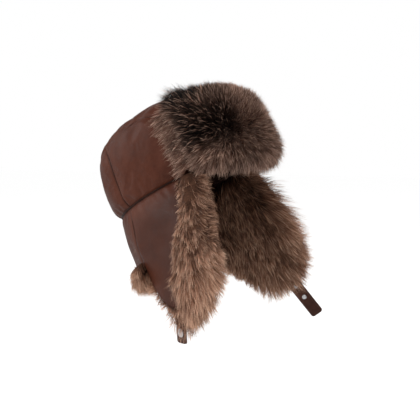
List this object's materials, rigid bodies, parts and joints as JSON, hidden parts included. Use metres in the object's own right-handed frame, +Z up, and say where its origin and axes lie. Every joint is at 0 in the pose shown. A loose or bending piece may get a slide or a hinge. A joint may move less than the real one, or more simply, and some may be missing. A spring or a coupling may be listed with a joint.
{
  "type": "trapper hat",
  "caption": "Padded leather trapper hat with a turned-up fur visor, fur-lined ear and neck flaps on hinged seams, and snap chin straps.",
  "frame": {"origin": "centre of the head opening, on the seam between the crown and the flaps", "axes": "+Z up as worn, -Y towards the front (the visor), +X towards the wearer's left; the head opening's plane is tilted 28 degrees about X, its front edge higher"},
  "size_m": [0.3138, 0.2694, 0.3334],
  "materials": {
    "shell_leather": "soft semi-aniline nappa, dark reddish brown, low sheen",
    "sweatband_leather": "smooth thin leather band",
    "strap_leather": "dark brown, satin",
    "flap_fur": "long brown fur with lighter tips",
    "visor_fur": "dense dark brown fur, paler at the rims",
    "padding": "polyester wadding",
    "interlining": "pressed felt",
    "quilted_lining": "quilted satin",
    "snap_metal": "polished nickel plate"
  },
  "bodies": {
    "crown": {"crown_centre_panel": "shell_leather", "crown_right_panel": "shell_leather", "crown_left_panel": "shell_leather", "crown_right_rear_gusset": "shell_leather", "crown_left_rear_gusset": "shell_leather", "crown_padding_centre": "padding", "crown_padding_right": "padding", "crown_padding_left": "padding", "crown_lining_centre": "quilted_lining", "crown_lining_right": "quilted_lining", "crown_lining_left": "quilted_lining", "sweatband": "sweatband_leather"},
    "visor": {"visor_backing": "shell_leather", "visor_stiffener": "interlining", "visor_fur": "visor_fur"},
    "neck_flap": {"neck_flap_leather": "shell_leather", "neck_flap_interlining": "interlining", "neck_flap_fur": "flap_fur", "neck_flap_fur_trim": "flap_fur"},
    "right_ear_flap": {"right_flap_leather": "shell_leather", "right_flap_interlining": "interlining", "right_flap_fur": "flap_fur", "right_flap_fur_trim": "flap_fur", "right_strap_anchor": "strap_leather"},
    "left_ear_flap": {"left_flap_leather": "shell_leather", "left_flap_interlining": "interlining", "left_flap_fur": "flap_fur", "left_flap_fur_trim": "flap_fur", "left_strap_anchor": "strap_leather"},
    "left_strap": {"left_strap_outer_ply": "strap_leather", "left_strap_inner_ply": "strap_leather", "left_snap_studs": "snap_metal", "left_snap_posts": "snap_metal"},
    "right_strap": {"right_strap_outer_ply": "strap_leather", "right_strap_inner_ply": "strap_leather", "right_snap_socket": "snap_metal", "right_snap_cap": "snap_metal"}
  },
  "joints": [
    {"name": "visor_fold", "type": "hinge", "parent": "crown", "child": "visor", "pos_m": [0, -0.1013, 0.05443], "axis": [1, 0, 0], "range_deg": [0, 80]},
    {"name": "neck_flap_fold", "type": "hinge", "parent": "crown", "child": "neck_flap", "pos_m": [0, 0.09247, -0.0494], "axis": [1, 0, 0], "range_deg": [0, 90]},
    {"name": "right_ear_flap_fold", "type": "hinge", "parent": "crown", "child": "right_ear_flap", "pos_m": [-0.08504, -0.00363, 0.0017], "axis": [-0.0458, 0.882, -0.469], "range_deg": [0, 70]},
    {"name": "left_ear_flap_fold", "type": "hinge", "parent": "crown", "child": "left_ear_flap", "pos_m": [0.08504, -0.00363, 0.0017], "axis": [-0.0458, -0.882, 0.469], "range_deg": [0, 70]},
    {"name": "left_strap_swing", "type": "hinge", "parent": "left_ear_flap", "child": "left_strap", "pos_m": [0.14035, -0.09645, -0.13809], "axis": [0.1435, -0.7755, 0.6148], "range_deg": [-60, 60]},
    {"name": "right_strap_swing", "type": "hinge", "parent": "right_ear_flap", "child": "right_strap", "pos_m": [-0.12893, -0.06595, -0.15002], "axis": [0.4274, 0.9019, -0.0623], "range_deg": [-60, 60]}
  ]
}
